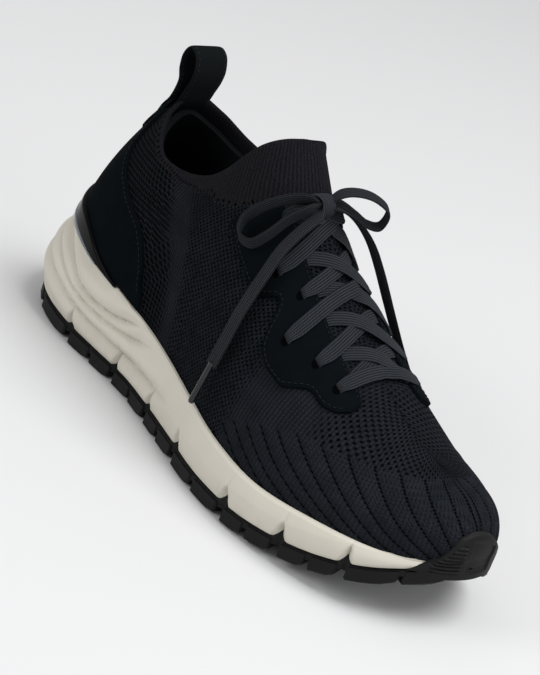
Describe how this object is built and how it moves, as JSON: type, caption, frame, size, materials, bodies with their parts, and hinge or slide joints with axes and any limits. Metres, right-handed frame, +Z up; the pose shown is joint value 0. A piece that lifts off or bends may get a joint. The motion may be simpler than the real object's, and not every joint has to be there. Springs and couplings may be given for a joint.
{
  "type": "running shoe",
  "caption": "Low knitted bootie running shoe for the right foot, with cupped pale foam midsole, lugged rubber outsole, suede overlays, heel finger loop and flat laces in a bow.",
  "frame": {"origin": "centre of the shoe's footprint on the plane its tread stands on, measured without the free lace ends and bow loops", "axes": "+X to the toe, +Y to the inner (medial) side, +Z up out of the collar"},
  "size_m": [0.3014, 0.1062, 0.1495],
  "materials": {
    "knit": "matte knit",
    "suede": "napped suede",
    "foam": "matte moulded foam",
    "rubber": "matte",
    "lace": "flat woven",
    "gloss": "gloss",
    "lining": "matte",
    "board": "matte fibre board",
    "aglet": "gloss"
  },
  "bodies": {
    "shoe": {"outsole": "rubber", "toe_bumper": "rubber", "midsole": "foam", "strobel_board": "board", "insole": "lining", "knit_upper": "knit", "toe_puff": "board", "heel_counter": "board", "heel_lining": "lining", "heel_patch": "suede", "heel_clip": "gloss", "eyestay_lateral": "suede", "eyestay_medial": "suede", "pull_tab_anchor": "suede", "lace_row_1": "lace", "lace_row_2": "lace", "lace_row_3": "lace", "lace_row_4": "lace", "lace_row_5": "lace", "lace_knot": "lace", "lace_loop_lateral": "lace", "lace_loop_medial": "lace", "lace_end_lateral": "lace", "lace_end_medial": "lace", "aglet_lateral": "aglet", "aglet_medial": "aglet"},
    "finger_tab": {"pull_tab": "suede"}
  },
  "joints": [
    {"name": "pull_tab_hinge", "type": "hinge", "parent": "shoe", "child": "finger_tab", "pos_m": [-0.10624, 0.00184, 0.1286], "axis": [0, 1, 0], "range_deg": [-25, 55], "stiffness_Nm_per_rad": 0.003}
  ]
}
